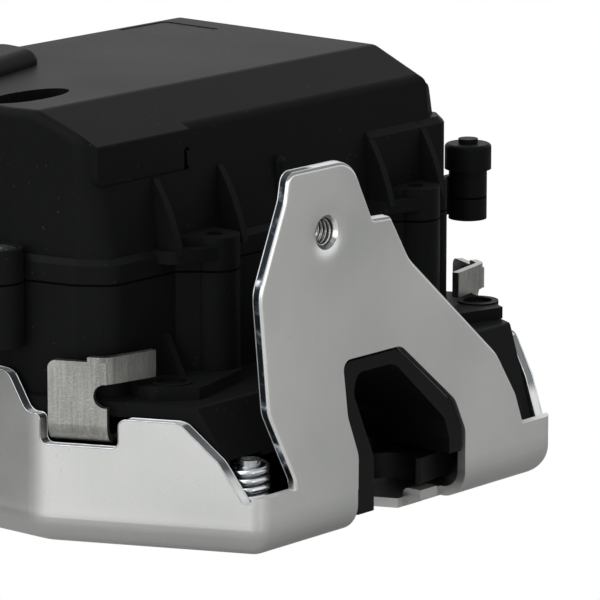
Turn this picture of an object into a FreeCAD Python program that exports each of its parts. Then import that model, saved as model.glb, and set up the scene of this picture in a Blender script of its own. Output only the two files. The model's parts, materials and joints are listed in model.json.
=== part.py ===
"""Tailgate lock actuator: a pressed steel pan with the claw and pawl of the lock on its floor, and on
top of it a plastic gear housing whose motor, worm and wheel lift the pawl.

Millimetres, +Z up. Every piece is drawn with y counted from the front face of the pan's flange and z
from the top of its floor, and save() puts the frame's origin in the middle of the pan's underside. The
striker comes in along +Y.
"""
import FreeCAD
import Part
import math
import os

V = FreeCAD.Vector
UP = V(0, 0, 1)
ACROSS = V(1, 0, 0)
INWARD = V(0, 1, 0)

os.makedirs("parts", exist_ok=True)

# General clearances and sheets
FIT = 0.05
RUNNING = 0.06
GAP = 0.35
WELD = 0.01
PAN_SHEET = 2.0
BRIDGE_SHEET = 1.5
MOULDING_WALL = 2.5

# Pan
PAN_FRONT_HALF = 46.0
PAN_SIDE_HALF = 65.6
PAN_FLARE_Y = 42.1
FLARE = math.degrees(math.atan2(PAN_FLARE_Y, PAN_SIDE_HALF - PAN_FRONT_HALF))
PAN_DEPTH = 110.0
PAN_WALL_FRONT_Z = 24.8
PAN_WALL_BACK_Z = 33.0
PAN_BACK_Z = 24.0
PAN_UNDER_Z = -PAN_SHEET
PIVOT_PAD_Z = 2.0
PIVOT_PAD_R = 9.0
PAN_LEDGE_Z = 10.6
PAN_BEND = 6.0
PAN_CORNER = 4.0
NOTCH_FRONT_Y = 26.9
NOTCH_BACK_Y = 41.7
NOTCH_FLOOR_Z = 18.8

FIXING_X = 54.0
FIXING_Y = 92.0
FIXING_THREAD_R = 2.6

# Flange with its lug thread and the striker mouth
FLANGE_TOP_Z = 74.4
FLANGE_RIM_R = 0.85
LUG_X = -27.0
LUG_Z = 61.0
LUG_THREAD_R = 2.6
LUG_COLLAR_R = 4.4
LUG_COLLAR_DEPTH = 3.0
MOUTH_LEFT = -17.2
MOUTH_RIGHT = 17.1
MOUTH_TOP_Z = 34.2

# Striker lane
LANE_X = -5.2
LANE_RIGHT = 1.0
STRIKER_R = 4.5
SEAT_Y = 30.0

# Lock mechanism
MECH_Z = PIVOT_PAD_Z + 0.3
CLAW_THICK = 5.4
CLAW_X = 22.0
CLAW_Y = 30.0
CLAW_PIN_R = 4.5
CLAW_SWING = 49.0
CLAW_HOOK_R = 28.3
CLAW_CATCH_R = 32.6
CLAW_TOOTH_R = 21.0
CLAW_CORE_INSET = 1.3
PAWL_X = -10.0
PAWL_Y = 51.0
PAWL_PIN_R = 3.5
PAWL_HUB_R = 6.5
PAWL_SWING = 13.2
FOLLOWER_R = 2.5
FOLLOWER_REACH = 17.0
FOLLOWER_ANGLE = 117.0

CORNER_PIN_X = 4.6 - PAN_FRONT_HALF
CORNER_PIN_Y = 7.9
CORNER_PIN_R = 2.4
CORNER_PIN_TOP_Z = 16.8
SPRING_WIRE_R = 0.75

# Power train
WHEEL_X = 0.0
WHEEL_Y = 77.0
WHEEL_SWING = 60.0
WHEEL_TEETH = 38
WHEEL_MODULE = 1.2
WHEEL_Z = 56.0
WHEEL_FACE = 8.0
WHEEL_HUB_R = 8.0
WHEEL_TOP = WHEEL_Z + WHEEL_FACE
SHAFT_R = 4.0
BUSH_WALL = 2.4
CAM_Z = 9.2
CAM_THICK = 5.0
CAM_HUB_R = 9.0
WORM_R = 6.0
WORM_LENGTH = 24.0
MOTOR_R = 10.5
MOTOR_SHAFT_R = 1.5
MOTOR_GAP = 7.0
TOOTH_TIP = WHEEL_MODULE * 0.8
WORM_OFFSET = WHEEL_TEETH * WHEEL_MODULE / 2 + WORM_R - TOOTH_TIP + 0.15
WORM_Y = WHEEL_Y - WORM_OFFSET
WORM_Z = WHEEL_Z + WHEEL_FACE / 2

SPRING_Z = MECH_Z + CLAW_THICK + 0.5

# Bridge plate
BRIDGE_Z = 19.2
BRIDGE_TAB_Z = 37.0
BRIDGE_ARM = 5.4
BRIDGE_ARM_LENGTH = 12.0
BRIDGE_CORNER_R = 1.6

# Mechanism cover inside the pan
TRAY_TOP_Z = 27.7
TRAY_INSET = 2.7
TRAY_RAMP_TOP_Y = 14.2
TRAY_RAMP_FOOT_Y = 8.3
TRAY_RAMP_FOOT_Z = 16.5

# Mouth liner
LINER_STEP_Y = 20.0
LINER_BACK_Y = SEAT_Y + STRIKER_R + 3.5
LINER_WALL = 2.5
LINER_FOOT_Z = 1.5
LINER_ROOF_Z = 24.8

# Housing
FLOOR = 2.5
HOUSING_FLOOR_TOP = TRAY_TOP_Z + FLOOR
PEG_R = 3.0
PEG_WALL_X = PAN_FRONT_HALF + (PAN_SIDE_HALF - PAN_FRONT_HALF) * 25.4 / PAN_FLARE_Y
PEGS = [(13.1 - PEG_WALL_X, 25.2), (PEG_WALL_X - 5.0, 25.4)]
HOUSING_SCREWS = [(-50.0, 80.0), (40.0, 80.0)]
PARTING_Z = 50.4
EAR_TOP_Z = 57.2
HEAD_SEAT_Z = EAR_TOP_Z - 2.4
RIM_TOP_Z = 55.5
COVER_TOP_Z = 84.1
HOUSING_FRONT_Y = 31.0
HOUSING_BACK_Y = 106.0
HOUSING_LEFT = 2.6 - PAN_SIDE_HALF
HOUSING_RIGHT = PAN_SIDE_HALF - 17.3
MOTOR_END_X = HOUSING_LEFT + 12.6
MOTOR_LENGTH = WHEEL_X - WORM_LENGTH / 2 - MOTOR_GAP - MOTOR_END_X
WING_RIGHT = PAN_SIDE_HALF - 9.6
HOUSING_WALL = 2.5
RIM_STEP = 1.8
COLUMN_R = 5.15
CORNER_RIB_R = 2.3
SCREW_R = 2.0
SCREW_HEAD_R = 3.6
COLUMNS = [(-28.3, 28.2), (36.5, 29.3)]
SCREW_BOSSES = [(HOUSING_LEFT - 3.0, 52.0), (WING_RIGHT + 3.4, 72.0), (-50.0, 108.6), (42.0, 108.6)]
GUSSETS = [-40.6, -21.2, 25.2, 42.2]
GUSSET_TOP_Z = 69.5
STUB_X = -2.5
STUB_TOP_Z = 67.5
STUB_R = 1.3
CORNER_BEND_Y = 37.6
COVER_CORNER_R = 5.0
COVER_CREASE_R = 2.0
COVER_FRONT_TOP_Y = 34.8
COVER_CHAMFER_Y = 47.6
COVER_CHAMFER_Z = 78.6
BAND_LEFT = -56.8
BAND_RIGHT = -29.8
BAND_LOW_Z = 69.8
BAND_Y = 33.4
SLOT_WIDTH = 1.6
SLOT_HEIGHT = 4.6
FIELD_LEFT = 23.5
FIELD_RIGHT = 38.5
FIELD_FRONT = 85.5
FIELD_BACK = 101.5
FIELD_DEPTH = 0.15
SHOULDER_TOP_Z = 69.6
DOME_RIGHT = -18.5
DOME_RISE = 3.3
POCKET_LEFT = -59.0
POCKET_RIGHT = -37.4
POCKET_Y = 60.0
POCKET_HALF_WIDTH = 4.7
POCKET_DEPTH = 2.2
POST_X = PAN_SIDE_HALF - 3.8
POST_Y = 35.5
POST_R = 4.1
POST_FOOT_Z = 45.6
POST_CAP_Z = 56.4
POST_CAP_TOP_Z = 61.9

# Connector and electrics
PLUG_X = 18.0
PLUG_Z = 41.0
PLUG_WIDTH = 24.0
PLUG_HEIGHT = 12.0
PLUG_REACH = 12.0
PIN_COUNT = 4
CARRIER_TOP = HOUSING_FLOOR_TOP + 2.4
SWITCH_X = 38.6
SWITCH_TRAVEL = 0.8
PLUNGER_R = 1.2


def rounded(corners, place):
    """Closed wire through (a, b, radius) corners, with an arc at each corner that has a radius."""
    count = len(corners)
    ends = []
    for i in range(count):
        a, b, r = corners[i]
        here = V(a, b, 0)
        before = V(corners[i - 1][0], corners[i - 1][1], 0)
        after = V(corners[(i + 1) % count][0], corners[(i + 1) % count][1], 0)
        to_before = (before - here).normalize()
        to_after = (after - here).normalize()
        if r <= 0:
            ends.append((here, here, here))
            continue
        half = to_before.getAngle(to_after) / 2
        run = r / math.tan(half)
        inside = (to_before + to_after).normalize()
        middle = here + inside * (r / math.sin(half) - r)
        ends.append((here + to_before * run, middle, here + to_after * run))
    edges = []
    for i in range(count):
        start, middle, end = ends[i]
        if (start - end).Length > 1e-6:
            edges.append(Part.Arc(place(start), place(middle), place(end)).toShape())
        next_start = ends[(i + 1) % count][0]
        if (next_start - end).Length > 1e-6:
            edges.append(Part.LineSegment(place(end), place(next_start)).toShape())
    return Part.Wire(edges)


def plan_face(corners, z):
    return Part.Face(rounded(corners, lambda p: V(p.x, p.y, z)))


def plan_prism(corners, z0, z1):
    """Prism over an outline in x and y."""
    return plan_face(corners, z0).extrude(UP * (z1 - z0))


def front_prism(corners, y0, y1):
    """Prism over an outline in x and z."""
    return Part.Face(rounded(corners, lambda p: V(p.x, y0, p.y))).extrude(INWARD * (y1 - y0))


def side_prism(corners, x0, x1):
    """Prism over an outline in y and z."""
    return Part.Face(rounded(corners, lambda p: V(x0, p.x, p.y))).extrude(ACROSS * (x1 - x0))


def box(x0, x1, y0, y1, z0, z1):
    return Part.makeBox(x1 - x0, y1 - y0, z1 - z0, V(x0, y0, z0))


def rod(x, y, z0, z1, r):
    return Part.makeCylinder(r, z1 - z0, V(x, y, z0), UP)


def tube(x, y, z0, z1, r_out, r_in):
    return rod(x, y, z0, z1, r_out).cut(rod(x, y, z0 - 1, z1 + 1, r_in))


def fuse(shapes):
    return shapes[0].multiFuse(shapes[1:]).removeSplitter()


def polar(cx, cy, r, degrees):
    return (cx + r * math.cos(math.radians(degrees)), cy + r * math.sin(math.radians(degrees)))


def turned(shape, x, y, degrees):
    shape = shape.copy()
    shape.rotate(V(x, y, 0), UP, degrees)
    return shape


def mirrored(shape):
    return shape.mirror(V(0, 0, 0), ACROSS)


def save(name, shape):
    shape = shape.copy()
    shape.translate(V(0, -PAN_DEPTH / 2, -PAN_UNDER_Z))
    shape.exportStep("parts/%s.step" % name)


def pan_outline(inset):
    """Plan of the pan: a narrow front, walls that flare, then run straight back."""
    flare = math.atan2(PAN_FLARE_Y, PAN_SIDE_HALF - PAN_FRONT_HALF)
    front_half = PAN_FRONT_HALF - inset * math.tan(flare / 2)
    side_half = PAN_SIDE_HALF - inset
    flare_y = PAN_FLARE_Y + inset * math.tan((math.pi / 2 - flare) / 2)
    front_corner = max(PAN_CORNER - inset, 0.8)
    return [(-front_half, inset, front_corner), (front_half, inset, front_corner),
            (side_half, flare_y, 12.0), (side_half, PAN_DEPTH - inset, 12.0 - inset),
            (-side_half, PAN_DEPTH - inset, 12.0 - inset), (-side_half, flare_y, 12.0)]


def pan_solid(inset, floor_z, top_z):
    solid = plan_prism(pan_outline(inset), floor_z, top_z)
    low = [e for e in solid.Edges if e.BoundBox.ZMax < floor_z + 0.01]
    return solid.makeFillet(PAN_BEND - inset, low)


def flange_outline():
    """Front view of the flange: lug at the top left, a long slope down to the right ledge."""
    left = PAN_LEDGE_Z
    return [(-35.9, left - 4, 0), (-36.4, left + 2, 3), (-44.3, 27.2, 6), (-46.9, 51.5, 8),
            (-39.4, 69.0, 6), (-38.4, FLANGE_TOP_Z, 2.5), (-19.2, FLANGE_TOP_Z, 7),
            (-12.6, 61.5, 0.8), (-7.0, 61.2, 1.2), (-1.0, 51.6, 10), (27.5, 27.2, 10),
            (34.0, 17.5, 8), (36.3, left + 1, 0), (36.3, left - 4, 0)]


def mouth_outline(inset, foot_z):
    """Front view of the striker mouth, open at the bottom, smaller all round by an inset."""
    return [(MOUTH_LEFT + inset, foot_z, 0), (MOUTH_LEFT + 0.2 + inset, 14.0, 6),
            (-20.4 + inset, 22.5, 8), (-22.0 + inset, MOUTH_TOP_Z - inset, 2.0),
            (-3.8 - inset / 4, MOUTH_TOP_Z - inset, 4), (13.6 - inset, 20.0 - inset / 2, 5),
            (MOUTH_RIGHT - inset, 13.0 - inset / 3, 4), (MOUTH_RIGHT - inset, foot_z, 0)]


def wall_x(y):
    """Half width of the pan at y, counted on its flared walls."""
    return PAN_FRONT_HALF + (PAN_SIDE_HALF - PAN_FRONT_HALF) * min(y / PAN_FLARE_Y, 1)


def base_pan():
    top = PAN_WALL_BACK_Z
    shell = pan_solid(0, PAN_UNDER_Z, top).cut(pan_solid(PAN_SHEET, 0, top + 1))
    behind = PAN_SHEET + 0.3
    side = [(-1, PAN_LEDGE_Z, 0), (behind, PAN_LEDGE_Z, 0), (behind, 8.2, 0.8), (3.8, 9.4, 1), (8.4, 17.4, 3),
            (15.6, PAN_WALL_FRONT_Z, 3), (NOTCH_FRONT_Y, PAN_WALL_FRONT_Z, 1.5),
            (NOTCH_FRONT_Y, NOTCH_FLOOR_Z, 1.5), (NOTCH_BACK_Y, NOTCH_FLOOR_Z, 1.5),
            (NOTCH_BACK_Y, PAN_WALL_FRONT_Z, 1.2), (NOTCH_BACK_Y + 3.4, PAN_WALL_FRONT_Z, 3),
            (NOTCH_BACK_Y + 8.4, top - 0.6, 3), (PAN_DEPTH - 20, top - 0.4, 0),
            (PAN_DEPTH + 5, top - 0.4, 0), (PAN_DEPTH + 5, top + 5, 0), (-1, top + 5, 0)]
    shell = shell.cut(side_prism(side, -PAN_SIDE_HALF - 5, PAN_SIDE_HALF + 5))
    back = [(-44, PAN_BACK_Z, 6), (44, PAN_BACK_Z, 6), (52, top + 5, 0), (-52, top + 5, 0)]
    shell = shell.cut(front_prism(back, PAN_DEPTH - PAN_SHEET - 1, PAN_DEPTH + 1))
    flange = front_prism(flange_outline(), 0, PAN_SHEET)
    rim = [e for e in flange.Edges if e.BoundBox.ZMin > PAN_LEDGE_Z - 1.5 and e.BoundBox.YMax < 0.01]
    flange = flange.makeFillet(FLANGE_RIM_R, rim)
    collar = Part.makeCylinder(LUG_COLLAR_R, LUG_COLLAR_DEPTH, V(LUG_X, PAN_SHEET, LUG_Z), INWARD)
    floor_collars = [rod(x, FIXING_Y, -0.5, LUG_COLLAR_DEPTH, LUG_COLLAR_R) for x in (-FIXING_X, FIXING_X)]
    pivots = ((CLAW_X, CLAW_Y, CLAW_PIN_R - 1), (PAWL_X, PAWL_Y, PAWL_PIN_R - 1))
    pads = [rod(x, y, -0.5, PIVOT_PAD_Z, PIVOT_PAD_R) for x, y, r in pivots]
    shell = fuse([shell, flange, collar] + floor_collars + pads)

    mouth = front_prism(mouth_outline(0, PAN_UNDER_Z - 1), -1, PAN_BEND + 0.5)
    tongue = [(PAN_SHEET + 0.2, 0, 0), (5.0, 0, 1), (6.0, PAN_UNDER_Z, 1), (PAN_BEND + 2, PAN_UNDER_Z, 0),
              (PAN_BEND + 2, 0, 0.8), (7.0, 0, 0.5), (6.6, PIVOT_PAD_Z, 1.5), (PAN_SHEET + 0.2, PIVOT_PAD_Z, 0)]
    tongue = side_prism(tongue, 5.3, 10.6)
    shell = shell.cut(mouth)
    shell = fuse([shell, tongue])
    lane_end = SEAT_Y + STRIKER_R + 3.5
    lane = [(MOUTH_LEFT, -1, 0), (5.3, -1, 0), (5.3, PAN_SHEET, 0), (LANE_RIGHT, 11.5, 3),
            (LANE_RIGHT, lane_end, 5), (MOUTH_LEFT, lane_end, 5)]
    shell = shell.cut(plan_prism(lane, PAN_UNDER_Z - 1, PAN_BEND + 1))
    through_lug = Part.makeCylinder(LUG_THREAD_R, 20, V(LUG_X, -1, LUG_Z), INWARD)
    mouth_of_lug = Part.makeCone(LUG_THREAD_R + 0.9, LUG_THREAD_R, 0.9, V(LUG_X, 0, LUG_Z), INWARD)
    cuts = [through_lug, mouth_of_lug]
    for x, y, r in pivots:
        cuts.append(rod(x, y, -1, PIVOT_PAD_Z + 1, r + FIT))
        cuts.append(rod(x, y, PAN_UNDER_Z - 1, 0, PIVOT_PAD_R - PAN_SHEET))
    cuts.append(rod(CORNER_PIN_X, CORNER_PIN_Y, PAN_UNDER_Z - 1, PAN_BEND, CORNER_PIN_R + FIT))
    for x in (-FIXING_X, FIXING_X):
        cuts.append(rod(x, FIXING_Y, PAN_UNDER_Z - 1, LUG_COLLAR_DEPTH + 1, FIXING_THREAD_R))
    return shell.cut(Part.makeCompound(cuts))


def on_left_wall(shape):
    """From a local frame, x back along the wall and y outwards, to the left flared wall."""
    shape = turned(shape, 0, 0, 180 - FLARE)
    shape.translate(V(-PAN_FRONT_HALF, 0, 0))
    return shape


def bridge_end():
    """Upturned end of the bridge plate in the left notch, with its inward arm."""
    along_front = NOTCH_FRONT_Y / math.sin(math.radians(FLARE)) + 2.3
    along_back = along_front + 12.2
    t = BRIDGE_SHEET
    bend = 2.5 + t
    profile = [(-12, BRIDGE_Z, 0), (0, BRIDGE_Z, bend), (0, BRIDGE_TAB_Z - 1, 0), (-t, BRIDGE_TAB_Z - 1, 0),
               (-t, BRIDGE_Z + t, bend - t), (-12, BRIDGE_Z + t, 0)]
    tab = side_prism(profile, along_front, along_back)
    turn = math.radians(FLARE - 11.6)
    reach_x = BRIDGE_ARM_LENGTH * math.cos(turn)
    reach_y = BRIDGE_ARM_LENGTH * math.sin(turn)
    inner_x = along_front + t * math.tan(turn / 2)
    arm = [(along_front + 4, 0, 0), (along_front, 0, 3.0), (along_front - reach_x, -reach_y, 0),
           (along_front - reach_x + t * math.sin(turn), -reach_y - t * math.cos(turn), 0),
           (inner_x, -t, 1.5), (along_front + 4, -t, 0)]
    arm = plan_prism(arm, BRIDGE_TAB_Z - BRIDGE_ARM, BRIDGE_TAB_Z)
    bite_z = BRIDGE_TAB_Z - BRIDGE_ARM - 2.4
    bite = Part.makeCylinder(2.4, 10, V(along_front + 0.4, -5, bite_z), INWARD)
    tab = fuse([tab.cut(bite), arm])
    top_z = BRIDGE_TAB_Z - 1
    face = [(along_front - 20, 0, 0), (along_back, 0, 0), (along_back, top_z, BRIDGE_CORNER_R),
            (along_front + 5, top_z, 0.6), (along_front + 4, BRIDGE_TAB_Z, 1.0), (along_front - 20, BRIDGE_TAB_Z, 0)]
    return on_left_wall(tab.common(front_prism(face, -20, 5)))


def bridge_plate():
    left = bridge_end()
    z0, z1 = BRIDGE_Z, BRIDGE_Z + BRIDGE_SHEET
    front_x = wall_x(31.4) - 9.0
    back_x = wall_x(42.6) - 8.8
    plan = [(-front_x, 31.4, 0), (-34, 36, 6), (-24, 42.5, 4),
            (CLAW_X - 8.5, 42.5, 3), (CLAW_X - 8.5, CLAW_Y - 7, 4), (CLAW_X + 8, CLAW_Y - 9, 5),
            (front_x, 31.4, 0), (back_x, 42.6, 0), (34, 57, 8), (PAWL_X - 16, PAWL_Y + 9, 8),
            (-back_x, 42.6, 0)]
    plate = fuse([plan_prism(plan, z0, z1), left, mirrored(left)])
    window = plan_prism([(2, 47, 2), (28, 47, 2), (22, 54, 2), (2, 54, 2)], z0 - 1, z1 + 1)
    holes = [rod(CLAW_X, CLAW_Y, z0 - 1, z1 + 1, CLAW_PIN_R - 1 + FIT),
             rod(PAWL_X, PAWL_Y, z0 - 1, z1 + 1, PAWL_PIN_R - 1 + FIT)]
    return plate.cut(Part.makeCompound([window] + holes))


def rivet_pin(x, y, r):
    """Stepped pin: full size between pan and bridge plate, shouldered down and headed at both."""
    neck = r - 1
    head_z = BRIDGE_Z + BRIDGE_SHEET
    body = rod(x, y, PIVOT_PAD_Z, BRIDGE_Z, r)
    head = Part.makeCone(r + 0.6, neck, 1.4, V(x, y, head_z), UP)
    return fuse([rod(x, y, 0, head_z + 0.5, neck), body, head])


def claw_outline():
    """Claw in its closed position: jaw round the striker, hook in front, catch behind, lock tooth."""
    jaw = STRIKER_R + 0.7
    tooth_root = polar(CLAW_X, CLAW_Y, 14.3, 101)
    tooth_tip = polar(CLAW_X, CLAW_Y, CLAW_TOOTH_R, 100)
    tooth_heel = polar(CLAW_X, CLAW_Y, CLAW_TOOTH_R, 80)
    tooth_foot = polar(CLAW_X, CLAW_Y, 14.3, 70)
    catch_back = polar(CLAW_X, CLAW_Y, CLAW_CATCH_R, 158)
    catch_front = polar(CLAW_X, CLAW_Y, CLAW_CATCH_R, 170.5)
    hook_tip = polar(CLAW_X, CLAW_Y, CLAW_HOOK_R + 0.3, 192.8)
    hook_heel = polar(CLAW_X, CLAW_Y, 24.1, 216.2)
    low_left = polar(CLAW_X, CLAW_Y, 17, 245)
    low_right = polar(CLAW_X, CLAW_Y, 15, 300)
    right = polar(CLAW_X, CLAW_Y, 15.6, 0)
    high_right = polar(CLAW_X, CLAW_Y, 15, 40)
    between = polar(CLAW_X, CLAW_Y, 14.5, 128)
    root = polar(CLAW_X, CLAW_Y, 20, 146)
    bottom = LANE_X + jaw
    return [(hook_tip[0], SEAT_Y - jaw, 0.5),
            (bottom, SEAT_Y - jaw, jaw - 0.01), (bottom, SEAT_Y + jaw, jaw - 0.01),
            (catch_front[0], SEAT_Y + jaw, 1.5), (*catch_back, 2.5), (*root, 4), (*between, 3),
            (*tooth_root, 1.5), (*tooth_tip, 1.0), (*tooth_heel, 2), (*tooth_foot, 2.5), (*high_right, 4),
            (*right, 6), (*low_right, 7), (*low_left, 5), (*hook_heel, 3), (*hook_tip, 0.5)]


def claw_shapes():
    """Steel core and the plastic jacket moulded round it, both turned to the open position."""
    z0, z1 = MECH_Z, MECH_Z + CLAW_THICK
    face = plan_face(claw_outline(), z0)
    whole = face.extrude(UP * CLAW_THICK)
    core_face = face.makeOffset2D(-CLAW_CORE_INSET)
    core_face.translate(UP * 0.9)
    core = core_face.extrude(UP * (CLAW_THICK - 1.8))
    tooth = polar(CLAW_X, CLAW_Y, CLAW_TOOTH_R - 2, 94)
    bare = whole.common(rod(tooth[0], tooth[1], z0, z1, 5.5))
    core = fuse([core, bare])
    bore = rod(CLAW_X, CLAW_Y, z0 - 1, z1 + 1, CLAW_PIN_R + RUNNING)
    hub = rod(CLAW_X, CLAW_Y, z0, z1, CLAW_PIN_R + 2.5)
    core = fuse([core, hub]).cut(bore)
    jacket = whole.cut(core).cut(bore)
    return [turned(s, CLAW_X, CLAW_Y, CLAW_SWING) for s in (core, jacket)]


def pawl_parts():
    """Pawl drawn engaged behind the claw's tooth, then turned to its lifted place; with its pin."""
    z0, z1 = MECH_Z, MECH_Z + CLAW_THICK
    face_low = polar(CLAW_X, CLAW_Y, 15.3, 101)
    face_high = polar(CLAW_X, CLAW_Y, 24.5, 101)
    nose_back = polar(CLAW_X, CLAW_Y, 16.8, 113)
    tail = polar(PAWL_X, PAWL_Y, FOLLOWER_REACH, FOLLOWER_ANGLE - PAWL_SWING)
    arm = [(*nose_back, 1.0), (10.2, 48.4, 3), (0, 47.2, 6), (PAWL_X, PAWL_Y - PAWL_HUB_R, 0),
           (PAWL_X, PAWL_Y + PAWL_HUB_R, 0), (4, 56.8, 6), (13.5, 56.0, 3), (*face_high, 1.2), (*face_low, 0.8)]
    along = math.radians(FOLLOWER_ANGLE - PAWL_SWING)
    side = V(-math.sin(along), math.cos(along), 0) * 4.6
    tail_arm = [(PAWL_X + side.x, PAWL_Y + side.y, 0), (PAWL_X - side.x, PAWL_Y - side.y, 0),
                (tail[0] - side.x * 0.9, tail[1] - side.y * 0.9, 0),
                (tail[0] + side.x * 0.9, tail[1] + side.y * 0.9, 0)]
    pawl = fuse([plan_prism(arm, z0, z1), rod(PAWL_X, PAWL_Y, z0, z1, PAWL_HUB_R),
                 plan_prism(tail_arm, z0, z1), rod(tail[0], tail[1], z0, z1, 4.2)])
    bores = [rod(PAWL_X, PAWL_Y, z0 - 1, z1 + 1, PAWL_PIN_R + RUNNING),
             rod(tail[0], tail[1], z0 - 1, z1 + 1, FOLLOWER_R - 0.7 + FIT)]
    pawl = pawl.cut(Part.makeCompound(bores))
    follower = fuse([rod(tail[0], tail[1], z0, z1 + 1, FOLLOWER_R - 0.7),
                     rod(tail[0], tail[1], z1, CAM_Z + CAM_THICK - 0.4, FOLLOWER_R)])
    return [turned(s, PAWL_X, PAWL_Y, PAWL_SWING) for s in (pawl, follower)]


def torsion_spring(x, y, z0, turns, pin_r, leg, leg_degrees):
    """One helix of wire swept round its pin, with a straight leg at each end."""
    r_wire = SPRING_WIRE_R
    r_mean = pin_r + r_wire + 0.45
    pitch = 2 * r_wire + 0.25
    height = pitch * turns
    helix = Part.makeHelix(pitch, height, r_mean)
    section = Part.Wire(Part.makeCircle(r_wire, V(r_mean, 0, 0), INWARD))
    body = Part.Wire(helix.Edges).makePipeShell([section], True, True)
    if body.Volume < 0:
        body.reverse()
    low_leg = Part.makeCylinder(r_wire, leg[0], V(r_mean, 0, 0), INWARD * -1)
    end = 360.0 * (turns - int(turns))
    high_leg = Part.makeCylinder(r_wire, leg[1], V(r_mean, 0, height), INWARD)
    high_leg.rotate(V(0, 0, 0), UP, end)
    spring = body.multiFuse([low_leg, high_leg], WELD)
    spring.rotate(V(0, 0, 0), UP, leg_degrees)
    spring.translate(V(x, y, z0 + r_wire))
    return spring


def corner_pin():
    x, y, r = CORNER_PIN_X, CORNER_PIN_Y, CORNER_PIN_R
    shank = rod(x, y, PAN_UNDER_Z + 0.2, CORNER_PIN_TOP_Z, r)
    foot = rod(x, y, PAN_BEND - 0.2, PAN_BEND + 0.8, r + 0.6)
    dimple = rod(x, y, CORNER_PIN_TOP_Z - 1.2, CORNER_PIN_TOP_Z + 1, r - 1.0)
    return fuse([shank, foot]).cut(dimple)


def tray_side(inset):
    """Side view of the mechanism cover, with the ramp at its front."""
    slope = math.atan2(TRAY_TOP_Z - TRAY_RAMP_FOOT_Z, TRAY_RAMP_TOP_Y - TRAY_RAMP_FOOT_Y)
    shift = inset / math.sin(slope)
    top_shift = inset / math.tan(slope) - shift
    foot_y = TRAY_RAMP_FOOT_Y + shift - 20 / math.tan(slope)
    return [(foot_y, TRAY_RAMP_FOOT_Z - 20, 0), (TRAY_RAMP_TOP_Y - top_shift, TRAY_TOP_Z - inset, 1.0),
            (PAN_DEPTH - TRAY_INSET - inset, TRAY_TOP_Z - inset, 1.0),
            (PAN_DEPTH - TRAY_INSET - inset, TRAY_RAMP_FOOT_Z - 20, 0)]


def tray_block(inset, z0):
    wide = side_prism(tray_side(inset), -PAN_SIDE_HALF, PAN_SIDE_HALF)
    plan = plan_prism(pan_outline(TRAY_INSET + inset), z0, TRAY_TOP_Z + 1)
    return wide.common(plan)


def mechanism_cover():
    """Inverted tray over the claw and pawl, with windows for the bridge plate and the mouth liner."""
    low = PAN_BEND + 2.5
    tray = tray_block(0, low).cut(tray_block(MOULDING_WALL, low - 1))
    front_gap = box(-PAN_SIDE_HALF, MOUTH_RIGHT + 2, 0, TRAY_RAMP_TOP_Y, 0, TRAY_RAMP_FOOT_Z)
    liner_way = front_prism(mouth_outline(-0.9, -2), -1, LINER_STEP_Y + 1)
    window_z = BRIDGE_Z + BRIDGE_SHEET + 4
    windows = box(-PAN_SIDE_HALF - 5, PAN_SIDE_HALF + 5, NOTCH_FRONT_Y - 0.5, NOTCH_BACK_Y + 2.0, 0, window_z)
    pin_room = rod(CORNER_PIN_X, CORNER_PIN_Y, 0, CORNER_PIN_TOP_Z + 0.4, CORNER_PIN_R + 2 * SPRING_WIRE_R + 1)
    tray = tray.cut(Part.makeCompound([front_gap, liner_way])).cut(windows).cut(pin_room)
    pegs = [rod(x, y, TRAY_TOP_Z - 1, HOUSING_FLOOR_TOP - 0.5, PEG_R) for x, y in PEGS]
    posts = []
    for x, y in HOUSING_SCREWS:
        posts.append(rod(x, y, 0, TRAY_TOP_Z - 1, SCREW_R + 2.4))
    tray = fuse([tray] + pegs + posts)
    shaft_hole = rod(WHEEL_X, WHEEL_Y, 0, TRAY_TOP_Z + 5, SHAFT_R + BUSH_WALL + FIT)
    screw_holes = [rod(x, y, 3, TRAY_TOP_Z + 5, SCREW_R + FIT) for x, y in HOUSING_SCREWS]
    return tray.cut(Part.makeCompound([shaft_hole] + screw_holes))


def liner_way():
    """Front view of the striker's way through the liner."""
    return [(-11.5, -5, 0), (-11.5, 12.5, 5), (-17.9, 26.6, 3), (-17.0, 30.8, 2.5), (-5.2, 30.8, 5),
            (11.0, 16.4, 5), (12.6, 12.0, 3), (12.6, -5, 0)]


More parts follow.
